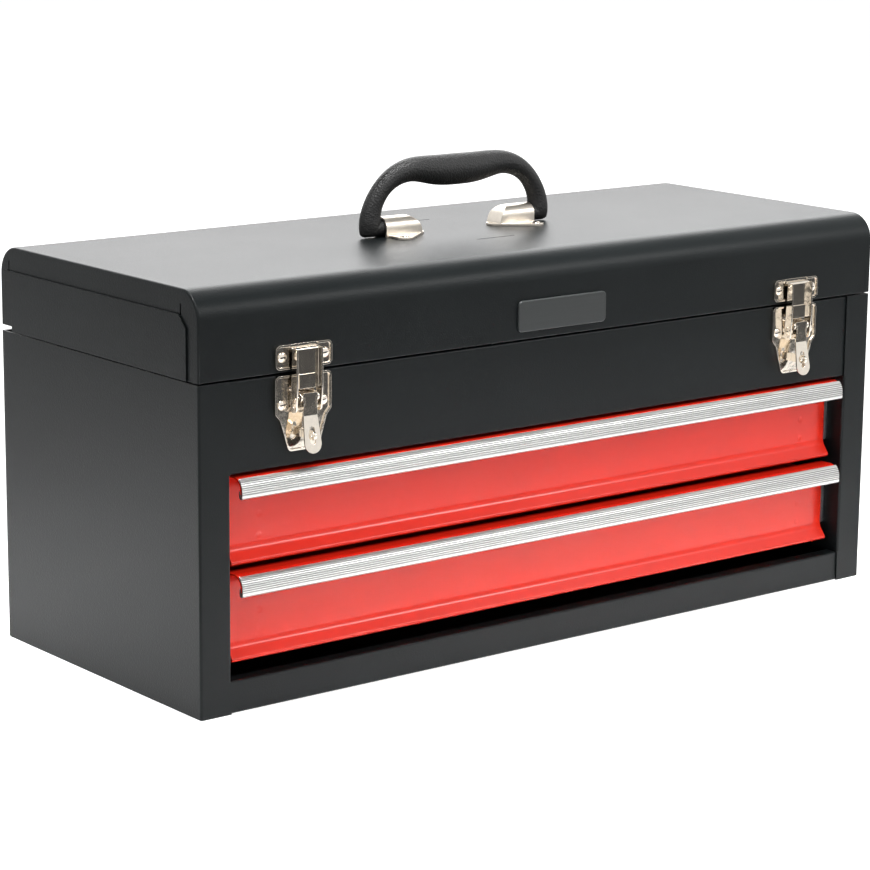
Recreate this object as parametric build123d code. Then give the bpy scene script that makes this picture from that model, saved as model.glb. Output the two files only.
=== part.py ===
"""Portable steel tool box: two drawers, a lidded till on top, two draw latches and a folding handle.

Millimetres. X runs along the box (right is +X from the front), Y to the back, Z up. The origin is the
middle of the underside. Every fold is drawn along the middle of its sheet.
"""

from build123d import *
import os
from math import cos, pi, radians, sin, tan

# Case
box_width = 510.0
box_depth = 205.0
body_height = 184.8
sheet = 1.0
fold = 1.0                  # radius of a fold, at the middle of the sheet
rail_fold = 0.7             # tighter fold at the foot of the rail
panel_fit = 0.2             # room between a panel and the sheet beside it
stile_width = 20.0          # front flange of each side panel
stile_return = 24.0         # its return, which carries the front of the drawer slides
rear_flange = 14.0
weld_flange = 12.0          # upturned edges of the bottom panel and of the till floor
rail_height = 18.4          # below the drawer opening
front_panel_height = 51.4   # above it
rail_lip = 8.0
front_lip = 8.0

# Lid
lid_gap = 0.9               # seam between body and lid
lid_height = 49.3
lid_corner = 16.5           # outer radius along the front and the back of the lid
lid_rim = 1.2               # rounding of the cover's ends
lid_lip = 8.0
end_plate_height = 35.3
end_plate_front = 10.5      # set back of the end plate from the lid's front
end_plate_rear = 13.0       # and from the lid's back, where the hinge needs room
end_plate_ear = 6.5         # the rear ear above that cut
end_plate_ear_height = 6.0
end_plate_chamfer = 7.0
end_lap = 8.0               # how far the cover's end flange reaches behind the end plate
end_slot = 1.6
relief_slot = 6.5           # short slots beside the corners of the cover's end flange
relief_width = 1.1
slit_length = 28.0          # tab slots in the lid's top
slit_width = 1.3
slit_offset = 41.0
slit_shift = -2.0
slit_fit = 0.15

# Rear hinge
hinge_gap = 3.6
hinge_inset = 1.25          # hinge axis in front of the back face
hinge_length = 440.0
hinge_leaf = 10.0
leaf_sheet = 0.7
knuckle_radius = 1.5
knuckle_gap = 0.4
knuckle_count = 9
hinge_pin_radius = 0.8
running_fit = 0.05          # pins in the holes that turn on them

# Handle and its brackets
handle_span = 143.6
handle_rise = 45.9          # top of the grip above the lid
grip_depth = 16.6
foot_width = 14.0
foot_depth = 10.2
# Half the handle, from its middle to the foot. Each row is a section: X and Z of its outer edge, X and Z of
# its inner edge, and its depth, as shares of half the span, of the rise above the pivot and of grip_depth.
handle_rows = [
    (0.000, 1.000, 0.000, 0.535, 1.000),
    (0.240, 1.000, 0.240, 0.560, 0.970),
    (0.470, 0.992, 0.482, 0.636, 0.860),
    (0.668, 0.890, 0.575, 0.616, 0.740),
    (0.820, 0.698, 0.684, 0.530, 0.660),
    (0.928, 0.455, 0.766, 0.369, 0.620),
    (0.990, 0.195, 0.802, 0.180, 0.615),
]
# The rounded foot below the pivot: how far down each section lies, and its width, as shares of the foot.
foot_rows = [(0.00, 1.00), (0.50, 0.97), (0.84, 0.82), (0.97, 0.62)]
pivot_height = 5.5          # pivot axis above the lid
lug_radius = 4.8
lug_length = 14.7
handle_fit = 0.3
bracket_sheet = 1.4
bracket_gap = 0.8           # room between a bracket's mouth and the handle's foot
bracket_length = 31.5
bracket_flat = 17.4         # level part of the bracket's ridge
bracket_nose = 9.6          # length of the slope from the ridge to the lid
bracket_ear = 15.2
bracket_ear_radius = 5.2
bracket_ear_setback = 6.6   # ears behind the open end
stiffener_margin = 21.5     # beyond the brackets' rivets
stiffener_skirt = 6.0

# Drawers
drawer_sheet = 0.9
drawer_lift = 8.1           # lower drawer's front above the rail
drawer_gap = 3.9            # between the drawer fronts
front_headroom = 1.8        # above the upper one
front_side_gap = 5.0
front_recess = 11.5         # drawer front behind the stiles
front_foot = 6.0            # how far the foot of the front flares out
front_foot_height = 8.5
front_foot_curve = 8.0
front_tail = 4.0            # foot turned back under the tray
pull_reach = 4.0            # pull strip in front of the stiles
pull_bend = 6.5
pull_drop = 8.45            # length of the front's lip below the ledge
strip_sheet = 1.0
strip_fit = 0.15
strip_start = 35.0          # degrees from the top of the bend
strip_return = 2.8
groove_count = 7
groove_pitch = 1.2
groove_radius = 0.35
tray_depth = 172.0
tray_margin = 6.6           # of the tray's rim below the top of the front

# Drawer slides
slide_thickness = 10.0
slide_height = 27.0
slide_sheet = 1.0
slide_bend = 0.9
slide_length = 165.0
slide_lip = 2.0
slide_setback = 1.5         # slides behind the drawer front
slide_foot = 3.4            # turned-out feet of the moving member
slide_fit = 0.3             # room between the members
middle_sheet = 0.8
post_flange = 20.0
post_foot = 14.0
post_room = 2.0             # above the bottom's flange and below the opening's top

# Draw latches
latch_inset = 67.5          # from the end of the case to the middle of a latch
latch_width = 37.5
base_sheet = 1.2
base_rim = 1.2
base_rim_height = 1.0
base_top = 0.6              # below the body's top edge
base_length = 42.2
base_shoulder = 21.0
base_step = 3.3
base_step_drop = 3.6
base_foot_width = 20.0
plate_corner = 3.0
keeper_sheet = 1.0
keeper_lift = 1.9           # above the lid's lower edge
keeper_height = 13.5
keeper_rim_height = 0.8
hook_depth = 1.7
hook_sheet = 1.4
hook_width = 11.0
hook_drop = 3.3             # top of the hook below the top of the keeper
claw_fit = 0.45             # claw above the hook and in front of it
link_sheet = 1.0
link_width = 17.6
link_cheek = 4.0
link_web_bottom = 10.6      # web above the link pivot
link_boss = 2.6
link_panel = 8.0            # height of the raised panel at the foot of the web
link_panel_width = 10.6
link_panel_proud = 0.7
lever_sheet = 1.0
lever_width = 9.2
tongue_width = 11.2
lever_drop = 10.0           # straight part of the lever below its pivot
tongue_length = 20.5
tongue_flare = 3.6
lever_boss = 2.6
lever_pivot_drop = 12.8     # below the body's top edge
lever_pivot_reach = 6.0     # in front of the front panel
link_pivot_drop = 6.0       # below the lever pivot
link_pivot_back = 1.2       # behind it, so that the latch locks past its dead centre
lever_face = 2.0            # middle of the lever in front of its pivot
pin_radius = 1.1
latch_side_fit = 0.3
ear_sheet = 1.2
staple_width = 1.6
staple_height = 5.0
staple_drop = 20.8          # middle of the padlock staple below the lever pivot
staple_reach = 13.2
staple_hole = 1.5
slot_length = 10.0
slot_width = 3.6
rivet_radius = 1.5
rivet_head = 2.9
rivet_dome = 1.1
rivet_tail = 0.8
rivet_fit = 0.05
base_rivet_offset = 13.8
base_rivet_drop = 16.8
keeper_rivet_offset = 14.2

# Name plate, left blank
plate_width = 66.5
plate_height = 18.2
plate_thickness = 1.5
plate_shift = -2.75
plate_lift = 4.6

# Places worked out from the sizes above
half_w = box_width / 2
half_d = box_depth / 2
opening_bottom = rail_height
opening_top = body_height - front_panel_height
drawer_levels = ("lower", "upper")
drawer_base = opening_bottom + drawer_lift
fronts_room = opening_top - front_headroom - drawer_base
front_height = (fronts_room + drawer_gap) / len(drawer_levels) - drawer_gap
drawer_pitch = front_height + drawer_gap
tray_height = front_height - tray_margin
latch_offset = half_w - latch_inset
lid_bottom = body_height + lid_gap
lid_top = lid_bottom + lid_height
lid_end = half_w                              # outside of the cover's end flanges
rear_edge = body_height + hinge_gap           # lower edge of the lid's back wall
hinge_y = half_d - hinge_inset
hinge_z = body_height + hinge_gap / 2
opening_half = half_w - stile_width
inner_half = half_w - sheet - fold - panel_fit
panel_face = -half_d + sheet                  # outside of the front panel
front_face = -half_d + front_recess
tray_half = opening_half - slide_thickness
slide_front = front_face + drawer_sheet + slide_setback
slide_rear = slide_front + slide_length
pivot_z = lid_top + pivot_height
handle_inner = handle_span / 2 - foot_width
lever_pivot = (panel_face - lever_pivot_reach, body_height - lever_pivot_drop)
link_pivot = (lever_pivot[0] + link_pivot_back, lever_pivot[1] - link_pivot_drop)
keeper_bottom = lid_bottom + keeper_lift
keeper_top = keeper_bottom + keeper_height
hook_top = keeper_top - hook_drop
hook_face = -half_d - keeper_sheet - hook_depth


def block(x0, x1, y0, y1, z0, z1):
    """A box between two corners."""
    return Pos((x0 + x1) / 2, (y0 + y1) / 2, (z0 + z1) / 2) * Box(x1 - x0, y1 - y0, z1 - z0)


def folded(plane, points, bends, thickness, start, end):
    """A sheet folded along the points of its middle line, from start to end along the plane's normal."""
    section = trace(FilletPolyline(*points, radius=bends), thickness)
    return extrude(plane.offset(start) * section, end - start)


def rod_x(radius, x0, x1, y, z):
    """A round bar along X."""
    return Pos((x0 + x1) / 2, y, z) * Rot(0, 90, 0) * Cylinder(radius, x1 - x0)


def rod_y(radius, y0, y1, x, z):
    """A round bar along Y."""
    return Pos(x, (y0 + y1) / 2, z) * Rot(90, 0, 0) * Cylinder(radius, y1 - y0)


def rod_z(radius, z0, z1, x, y):
    """A round bar along Z."""
    return Pos(x, y, (z0 + z1) / 2) * Cylinder(radius, z1 - z0)


def across(face, x0, x1):
    """Extrudes a face drawn in Y and Z from x0 to x1."""
    return extrude(Plane.YZ.offset(x0) * face, x1 - x0)


def forward(face, y0, y1):
    """Extrudes a face drawn in X and Z from y1 towards the front, to y0."""
    return extrude(Plane.XZ.offset(-y1) * face, y1 - y0)


def hull_of(*faces):
    """The outline stretched round several faces."""
    return make_hull([edge for face in faces for edge in face.edges()])


def other_side(shape):
    """The same piece at the other end of the box."""
    return mirror(shape, about=Plane.YZ)


def rivet(grip):
    """A rivet along Z: its head stands on Z = 0 and its tail closes at the grip below."""
    head = Pos(0, 0, rivet_dome / 2) * Cone(rivet_head, 0.6 * rivet_head, rivet_dome)
    shank = rod_z(rivet_radius, -grip, 0, 0, 0)
    tail = rod_z(0.9 * rivet_head, -grip - rivet_tail, -grip, 0, 0)
    return head + shank + tail


# Case

def side_panel():
    """Right side: wall, rear flange and front stile, with a return beside the drawer opening."""
    wall = half_w - sheet / 2
    front = -half_d + sheet / 2
    rear = half_d - 1.5 * sheet
    edge = [(wall, front), (opening_half, front)]
    jamb = opening_half + sheet / 2
    turned = [(wall, front), (jamb, front), (jamb, front + stile_return)]
    back = [(wall - rear_flange, rear), (wall, rear)]
    notched = [(wall, half_d - 2 * sheet)]
    zones = [
        (0, weld_flange + fold, notched + edge),
        (weld_flange + fold, opening_bottom, back + edge),
        (opening_bottom, opening_top, back + turned),
        (opening_top, body_height, back + edge),
    ]
    panel = Part()
    for z0, z1, points in zones:
        panel += folded(Plane.XY, points, fold, sheet, z0, z1)
    return panel


def front_panel():
    """Panel above the drawers, lapped behind the stiles, turned in at its top and bottom."""
    middle = panel_face + sheet / 2
    low = opening_top + sheet / 2
    high = body_height - sheet / 2
    points = [(middle + rail_lip, low), (middle, low), (middle, high), (middle + front_lip, high)]
    panel = folded(Plane.YZ, points, fold, sheet, -inner_half, inner_half)
    for side in (-1, 1):
        for x, z in base_rivets():
            place = side * latch_offset + x
            panel -= rod_y(rivet_radius + rivet_fit, panel_face - sheet, panel_face + 2 * sheet, place, z)
    return panel


def back_panel():
    """Back sheet, outside the rear flanges, turned in at the top to carry the hinge."""
    middle = half_d - sheet / 2
    high = body_height - sheet / 2
    inner = half_w - sheet - rear_flange - panel_fit
    outer = half_w - sheet / 2
    points = [(middle, 0), (middle, high), (middle - hinge_leaf - hinge_inset, high)]
    panel = folded(Plane.YZ, points, fold, sheet, -inner, inner)
    for x0, x1 in ((-outer, -inner), (inner, outer)):
        panel += block(x0, x1, half_d - sheet, half_d, 0, body_height)
    return panel


def bottom_panel():
    """Bottom pan: front rail with its lip, upturned back and sides."""
    front = panel_face + sheet / 2
    rear = half_d - 1.5 * sheet
    low = sheet / 2
    points = [
        (rear, weld_flange),
        (rear, low),
        (front, low),
        (front, opening_bottom - sheet / 2),
        (front + rail_lip, opening_bottom - sheet / 2),
    ]
    pan = folded(Plane.YZ, points, [fold, rail_fold, fold], sheet, -inner_half, inner_half)
    wall = half_w - 1.5 * sheet
    points = [(inner_half - fold, low), (wall, low), (wall, weld_flange)]
    room = 2 * sheet + 2 * fold
    flank = folded(Plane.XZ, points, fold, sheet, -half_d + room, half_d - room)
    return pan + flank + other_side(flank)


def till_floor():
    """Floor of the top compartment, resting on the front panel's lower lip."""
    wall = half_w - 1.5 * sheet
    low = opening_top + 1.5 * sheet
    points = [(-wall, low + weld_flange), (-wall, low), (wall, low), (wall, low + weld_flange)]
    front = panel_face + sheet + fold
    rear = half_d - 2 * sheet - fold
    return folded(Plane.XZ, points, fold, sheet, -rear, -front)


def slide_post():
    """Right rear post: carries the backs of both right-hand slides off the side wall."""
    wall = half_w - 1.5 * sheet
    face = opening_half + sheet / 2
    turn = slide_rear + sheet / 2
    points = [(wall, turn + post_foot), (wall, turn), (face, turn), (face, turn - post_flange)]
    return folded(Plane.XY, points, fold, sheet, weld_flange + post_room, opening_top - post_room)


# Lid

def lid_window():
    """Side view of what the end plates cover: the cover's ends are open there."""
    front = -half_d + end_plate_front + end_lap
    rear = half_d - end_plate_rear - end_lap
    return (front, rear, lid_bottom + end_plate_height - end_lap)


def lid_cover():
    """Top, front and back in one sheet, with flanged ends and turned-in lower edges."""
    shell = block(-lid_end, lid_end, -half_d, half_d, lid_bottom, lid_top)
    shell = fillet(shell.edges().filter_by(Axis.X).group_by(Axis.Z)[-1], lid_corner)
    rims = [edge for face in (shell.faces().sort_by(Axis.X)[0], shell.faces().sort_by(Axis.X)[-1])
            for edge in face.edges() if edge.center().Z > lid_bottom + sheet]
    shell = fillet(rims, lid_rim)
    inner = lid_end - sheet
    deep = half_d - sheet
    room = block(-inner, inner, -deep, deep, lid_bottom - sheet, lid_top - sheet)
    shell -= fillet(room.edges().filter_by(Axis.X).group_by(Axis.Z)[-1], lid_corner - sheet)
    y0, y1, z1 = lid_window()
    past = lid_end + sheet
    shell -= block(-past, past, y0, y1, lid_bottom - sheet, z1)
    slot_y = half_d - end_plate_rear
    slot_top = lid_bottom + end_plate_height - end_plate_ear_height
    shell -= block(-past, past, y1 - sheet, slot_y + end_slot, lid_bottom - sheet, slot_top)
    shell -= block(-past, past, half_d - end_plate_rear, half_d + sheet, lid_bottom - sheet, rear_edge)
    for y in (-half_d + lid_corner, half_d - lid_corner + end_plate_ear):
        top = lid_top - lid_corner / 2
        for x in (-lid_end, lid_end):
            shell -= block(x - 2 * sheet, x + 2 * sheet, y - relief_width / 2, y + relief_width / 2,
                           top - relief_slot, top)
    front = block(-inner, inner, -half_d, -half_d + lid_lip, lid_bottom, lid_bottom + sheet)
    rear = block(-inner, inner, hinge_y - hinge_leaf, half_d, rear_edge, rear_edge + sheet)
    shell += front + rear
    for y, z in ((-half_d, lid_bottom), (half_d, rear_edge)):
        corner = shell.edges().filter_by(Axis.X).sort_by_distance((0, y, z))[0]
        shell = fillet(corner, 0.8 * sheet)
    for side in (-1, 1):
        shell -= block(slit_shift - slit_length / 2, slit_shift + slit_length / 2,
                       side * slit_offset - slit_width / 2, side * slit_offset + slit_width / 2,
                       lid_top - 2 * sheet, lid_top + sheet)
        for x, y in bracket_rivets():
            shell -= rod_z(rivet_radius + rivet_fit, lid_top - 2 * sheet, lid_top + sheet, side * x, y)
        for x, z in keeper_rivets():
            place = side * latch_offset + x
            shell -= rod_y(rivet_radius + rivet_fit, -half_d - sheet, -half_d + 2 * sheet, place, z)
    return shell


def lid_end_plate():
    """Right end plate, lapped over the outside of the cover's end flange."""
    front = -half_d + end_plate_front
    rear = half_d - end_plate_rear
    top = lid_bottom + end_plate_height
    outline = Polyline(
        (front, lid_bottom),
        (rear, lid_bottom),
        (rear, top - end_plate_ear_height),
        (rear + end_plate_ear, top - end_plate_ear_height),
        (rear + end_plate_ear, top),
        (front + end_plate_chamfer, top),
        (front, top - end_plate_chamfer),
        close=True,
    )
    plate = make_face(outline)
    return across(plate, lid_end, lid_end + sheet)


def handle_stiffener():
    """Plate under the lid's top that spreads the handle's pull, held by two tabs in the slits."""
    top = lid_top - sheet
    half = slit_offset + sheet / 2
    end = bracket_rivets()[0][0] + stiffener_margin
    plate = block(-end, end, -half, half, top - sheet, top)
    for side in (-1, 1):
        edge = side * end
        plate += block(min(edge, edge - side * sheet), max(edge, edge - side * sheet), -half, half,
                       top - stiffener_skirt, top)
        plate += block(slit_shift - slit_length / 2 + slit_fit, slit_shift + slit_length / 2 - slit_fit,
                       side * slit_offset - sheet / 2, side * slit_offset + sheet / 2,
                       top - sheet, lid_top - slit_fit)
        for x, y in bracket_rivets():
            plate -= rod_z(rivet_radius + rivet_fit, top - 2 * sheet, top + sheet, side * x, y)
    return plate


def name_plate():
    """Blank plate on the front of the lid."""
    z = lid_bottom + plate_lift + plate_height / 2
    face = Pos(plate_shift, z) * RectangleRounded(plate_width, plate_height, plate_corner)
    plate = forward(face, -half_d - plate_thickness, -half_d)
    return chamfer(plate.faces().sort_by(Axis.Y)[0].edges(), plate_thickness / 3)


# Rear hinge

def hinge_half(own, level):
    """One leaf of the continuous hinge with its share of the knuckles: own is 0 or 1, level is -1 or 1."""
    pitch = hinge_length / knuckle_count
    flange = hinge_z + level * hinge_gap / 2
    z0, z1 = sorted((flange, flange - level * leaf_sheet))
    notch = hinge_y - knuckle_radius - knuckle_gap
    half = hinge_length / 2
    leaf = block(-half, half, hinge_y - hinge_leaf, notch, z0, z1)
    for index in range(own, knuckle_count, 2):
        x0 = -half + index * pitch + knuckle_gap / 2
        x1 = x0 + pitch - knuckle_gap
        leaf += block(x0, x1, notch, hinge_y, z0, z1)
        leaf += rod_x(knuckle_radius, x0, x1, hinge_y, hinge_z)
    return leaf - rod_x(hinge_pin_radius + running_fit, -half, half, hinge_y, hinge_z)


def hinge_pin():
    """The wire that the hinge turns on."""
    return rod_x(hinge_pin_radius, -hinge_length / 2, hinge_length / 2, hinge_y, hinge_z)


# Handle

def handle_section(outer, inner, depth):
    """Oval section of the handle between two points of its outline."""
    width = outer - inner
    plane = Plane(origin=(outer + inner) / 2, x_dir=width, z_dir=width.cross(Vector(0, 1, 0)))
    return plane * scale(Circle(depth / 2), by=(width.length / depth, 1, 1))


def handle_grip():
    """Moulded handle: bellied grip, legs that curve down to rounded feet, and the lugs it turns on."""
    reach = handle_span / 2
    rise = handle_rise - pivot_height
    half = []
    for outer_x, outer_z, inner_x, inner_z, depth in handle_rows:
        outer = Vector(outer_x * reach, 0, pivot_z + outer_z * rise)
        inner = Vector(inner_x * reach, 0, pivot_z + inner_z * rise)
        half.append((outer, inner, depth * grip_depth))
    middle = reach - foot_width / 2
    for drop, width in foot_rows:
        z = pivot_z - drop * foot_depth / 2
        wide = width * foot_width / 2
        depth = foot_depth * (1 - drop**2) ** 0.5
        half.append((Vector(middle + wide, 0, z), Vector(middle - wide, 0, z), depth))
    turned = [(Vector(-a.X, 0, a.Z), Vector(-b.X, 0, b.Z), depth) for a, b, depth in reversed(half[1:])]
    rows = turned + half
    path = Spline(*[(outer + inner) / 2 for outer, inner, depth in rows])
    bar = sweep([handle_section(*row) for row in rows], path=path, multisection=True)
    lug = rod_x(lug_radius, handle_inner - lug_length, middle, 0, pivot_z)
    return bar + lug + other_side(lug)


def bracket_rivets():
    """Rivets of the right bracket."""
    x = handle_inner - bracket_gap - bracket_ear_setback
    return [(x, -bracket_ear), (x, bracket_ear)]


def saddle(radius, shorten):
    """Half-round hood over a lug, sloping to the lid at its inner end."""
    open_end = handle_inner - bracket_gap
    top = pivot_z + radius
    hood = rod_x(radius, open_end - bracket_length, open_end, 0, pivot_z)
    hood += block(open_end - bracket_length, open_end, -radius, radius, lid_top, pivot_z)
    flat_end = open_end - bracket_flat
    toe = flat_end - bracket_nose + shorten
    through = (toe + 0.34 * (flat_end - toe), lid_top + 0.72 * (top - lid_top))
    side_view = make_face(
        [
            Line((open_end, lid_top), (open_end, top)),
            Line((open_end, top), (flat_end, top)),
            ThreePointArc((flat_end, top), through, (toe, lid_top)),
            Line((toe, lid_top), (open_end, lid_top)),
        ]
    )
    return hood & forward(side_view, -radius, radius)


def handle_bracket():
    """Right bracket: pressed hood over the handle's lug, on a flange with two ears."""
    open_end = handle_inner - bracket_gap
    toe = Pos(open_end - bracket_length + bracket_ear_radius, 0) * Circle(bracket_ear_radius)
    ears = [Pos(x, y) * Circle(bracket_ear_radius) for x, y in bracket_rivets()]
    flange = extrude(Plane.XY.offset(lid_top) * hull_of(toe, *ears), bracket_sheet)
    inner = lug_radius + handle_fit
    bracket = flange + saddle(inner + bracket_sheet, 0)
    bracket -= saddle(inner, bracket_sheet)
    for x, y in bracket_rivets():
        bracket -= rod_z(rivet_radius + rivet_fit, lid_top - sheet, lid_top + 2 * bracket_sheet, x, y)
    return bracket


def handle_rivets():
    """Four rivets through brackets, lid and stiffener."""
    places = [(side * x, y) for side in (-1, 1) for x, y in bracket_rivets()]
    return [Pos(x, y, lid_top + bracket_sheet) * rivet(bracket_sheet + 2 * sheet) for x, y in places]


# Drawers

def ledge_lip():
    """Middle of the lip's sheet, which the pull strip is clipped round."""
    return -half_d - pull_reach + strip_sheet + strip_fit + drawer_sheet / 2


def drawer_front(base):
    """Pressed front: flat face over a flared foot that is turned under the tray."""
    middle = front_face + drawer_sheet / 2
    low = base + drawer_sheet / 2
    points = [
        (middle + front_tail, low),
        (middle - front_foot, low),
        (middle, base + front_foot_height),
        (middle, base + front_height - drawer_sheet),
    ]
    half = opening_half - front_side_gap
    return folded(Plane.YZ, points, [1.2 * drawer_sheet, front_foot_curve], drawer_sheet, -half, half)


def drawer_ledge(base):
    """Ledge along the top of the front, rounded over into the lip for the pull strip."""
    top = base + front_height - drawer_sheet / 2
    lip = ledge_lip()
    points = [(front_face + drawer_sheet, top), (lip, top), (lip, top - pull_drop)]
    half = opening_half - front_side_gap
    return folded(Plane.YZ, points, pull_bend, drawer_sheet, -half, half)


def pull_strip(base):
    """Grooved aluminium strip clipped round the front's lip."""
    step = drawer_sheet / 2 + strip_fit + strip_sheet / 2
    lip = ledge_lip()
    outer = lip - step
    ledge = base + front_height - drawer_sheet / 2
    centre_y = lip + pull_bend
    centre_z = ledge - pull_bend
    radius = pull_bend + step
    turn_z = ledge - pull_drop - step
    start = (centre_y - radius * sin(radians(strip_start)), centre_z + radius * cos(radians(strip_start)))
    middle_turn = radians((strip_start + 90) / 2)
    middle = (centre_y - radius * sin(middle_turn), centre_z + radius * cos(middle_turn))
    path = [
        ThreePointArc(start, middle, (outer, centre_z)),
        Line((outer, centre_z), (outer, turn_z)),
        ThreePointArc((outer, turn_z), (lip, turn_z - step), (lip + step, turn_z)),
        Line((lip + step, turn_z), (lip + step, turn_z + strip_return)),
    ]
    section = trace(path, strip_sheet)
    skin = radius + strip_sheet / 2
    bent = skin * (pi / 2 - radians(strip_start))
    for index in range(groove_count):
        run = bent + centre_z - turn_z - (groove_count - index) * groove_pitch
        if run < bent:
            turn = radians(strip_start) + run / skin
            place = (centre_y - skin * sin(turn), centre_z + skin * cos(turn))
        else:
            place = (outer - strip_sheet / 2, centre_z - (run - bent))
        section -= Pos(*place) * Circle(groove_radius)
    half = opening_half - front_side_gap
    return across(section, -half, half)


def drawer_tray(base):
    """Folded tray behind the front."""
    front = front_face + drawer_sheet
    floor = base + drawer_sheet
    top = floor + tray_height
    wall = drawer_sheet
    rear = front + tray_depth
    room_half = tray_half - wall
    tray = block(-tray_half, tray_half, front, rear, floor, top)
    return tray - block(-room_half, room_half, front + wall, rear - wall, floor + wall, top + wall)


# Drawer slides, drawn for the right side: depth runs from the post towards the drawer

def slide_middle(base):
    """Height of a drawer's slides."""
    return base + drawer_sheet + tray_height / 2


def slide_section(points, thickness, base):
    """A folded slide member: points are depth and height of its upper half about the slide's middle."""
    z = slide_middle(base)
    points = points + [(depth, -height) for depth, height in reversed(points)]
    line = [(opening_half - depth, z + height) for depth, height in points]
    return folded(Plane.XZ, line, slide_bend, thickness, -slide_rear, -slide_front)


def fixed_slide(base):
    """Outer member, screwed to the stile's return and to the rear post."""
    high = (slide_height - slide_sheet) / 2
    edge = slide_thickness - 1.5 * slide_sheet
    points = [(edge, high - slide_lip), (edge, high), (slide_sheet / 2, high)]
    return slide_section(points, slide_sheet, base)


def middle_slide(base):
    """Middle member, trapped in the outer one; it moves half as far as the drawer."""
    high = slide_height / 2 - slide_sheet - slide_fit - middle_sheet / 2
    web = slide_sheet + slide_fit + middle_sheet / 2
    edge = slide_thickness - 2 * slide_sheet - slide_fit - middle_sheet / 2
    points = [(edge, high - slide_lip), (edge, high), (web, high)]
    return slide_section(points, middle_sheet, base)


def moving_slide(base):
    """Inner member, welded to the drawer's side, with feet trapped in the middle one."""
    high = slide_height / 2 - 1.5 * slide_sheet - 2 * slide_fit - middle_sheet
    foot = 1.5 * slide_sheet + 2 * slide_fit + middle_sheet
    tip = slide_thickness - 2 * slide_sheet - 2 * slide_fit - middle_sheet
    web = slide_thickness - slide_sheet / 2
    points = [(tip, high), (foot, high), (foot, high - slide_foot), (web, high - slide_foot)]
    return slide_section(points, slide_sheet, base)


# Draw latches, drawn at the middle of the box and then moved to each side

def base_rivets():
    """Rivets of a latch base, as X and Z from the latch's middle."""
    z = body_height - base_rivet_drop
    return [(-base_rivet_offset, z), (base_rivet_offset, z)]


def keeper_rivets():
    """Rivets of a keeper."""
    z = (keeper_bottom + keeper_top) / 2
    return [(-keeper_rivet_offset, z), (keeper_rivet_offset, z)]


def base_outline():
    """Front view of a latch base: square shoulders over a tapered foot."""
    top = body_height - base_top
    half = latch_width / 2
    step = top - base_shoulder
    right = [
        (half, top),
        (half, step),
        (half - base_step, step - base_step_drop),
        (base_foot_width / 2, top - base_length),
    ]
    left = [(-x, z) for x, z in reversed(right)]
    face = make_face(Polyline(*right, *left, close=True))
    return fillet(face.vertices(), plate_corner)


def latch_base():
    """Pressed plate with a raised rim, two ears for the lever's pin and a padlock staple."""
    outline = base_outline()
    floor = panel_face - base_sheet
    plate = forward(outline, floor, panel_face)
    plate += forward(outline - offset(outline, -base_rim), floor - base_rim_height, floor)
    y, z = lever_pivot
    foot = Pos((floor + y) / 2, z) * Rectangle(floor - y, 2 * lever_boss)
    ear = Pos(y, z) * Circle(lever_boss) + foot
    inner = lever_width / 2 + latch_side_fit
    for x0 in (-inner - ear_sheet, inner):
        plate += across(ear, x0, x0 + ear_sheet)
    plate -= rod_x(pin_radius + running_fit, -latch_width / 2, latch_width / 2, y, z)
    tip = staple_height / 2
    eye = (panel_face - staple_reach + tip, z - staple_drop)
    stem = Pos((floor + eye[0]) / 2, eye[1]) * Rectangle(floor - eye[0], staple_height)
    staple = Pos(*eye) * Circle(tip) + stem - Pos(*eye) * Circle(staple_hole)
    plate += across(staple, -staple_width / 2, staple_width / 2)
    for x, z in base_rivets():
        plate -= rod_y(rivet_radius + rivet_fit, floor - sheet, panel_face + sheet, x, z)
    return plate


def keeper():
    """Keeper on the lid: pressed plate with two rimmed ears and the hook for the claw."""
    plan = RectangleRounded(latch_width, keeper_height, plate_corner)
    outline = Pos(0, (keeper_bottom + keeper_top) / 2) * plan
    front = -half_d - keeper_sheet
    plate = forward(outline, front, -half_d)
    rim = forward(outline - offset(outline, -base_rim), front - keeper_rim_height, front)
    gap = link_width / 2 + latch_side_fit * 2
    plate += rim - block(-gap, gap, front - 2 * sheet, front, keeper_bottom - sheet, keeper_top + sheet)
    plate += block(-hook_width / 2, hook_width / 2, hook_face, front, hook_top - hook_sheet, hook_top)
    for x, z in keeper_rivets():
        plate -= rod_y(rivet_radius + rivet_fit, front - sheet, -half_d + sheet, x, z)
    return plate


def latch_link():
    """Channel-shaped claw: the web's top folds back over the keeper's hook."""
    y, z = link_pivot
    back = hook_face - claw_fit
    middle = back - link_sheet / 2
    claw = hook_top + claw_fit + link_sheet / 2
    tip = -half_d - keeper_sheet - claw_fit
    half = link_width / 2
    web = folded(Plane.YZ, [(tip, claw), (middle, claw), (middle, z + link_web_bottom)], link_sheet * 0.9,
                 link_sheet, -half, half)
    side = Pos(back - link_cheek / 2, (claw + z + link_web_bottom) / 2)
    cheek = hull_of(side * Rectangle(link_cheek, claw - z - link_web_bottom), Pos(y, z) * Circle(link_boss))
    for x0 in (-half, half - link_sheet):
        web += across(cheek, x0, x0 + link_sheet)
    foot = z + link_web_bottom
    front = back - link_sheet
    web += block(-link_panel_width / 2, link_panel_width / 2,
                 front - link_panel_proud, front, foot, foot + link_panel)
    return web - rod_x(pin_radius + running_fit, -latch_width, latch_width, y, z)


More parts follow.
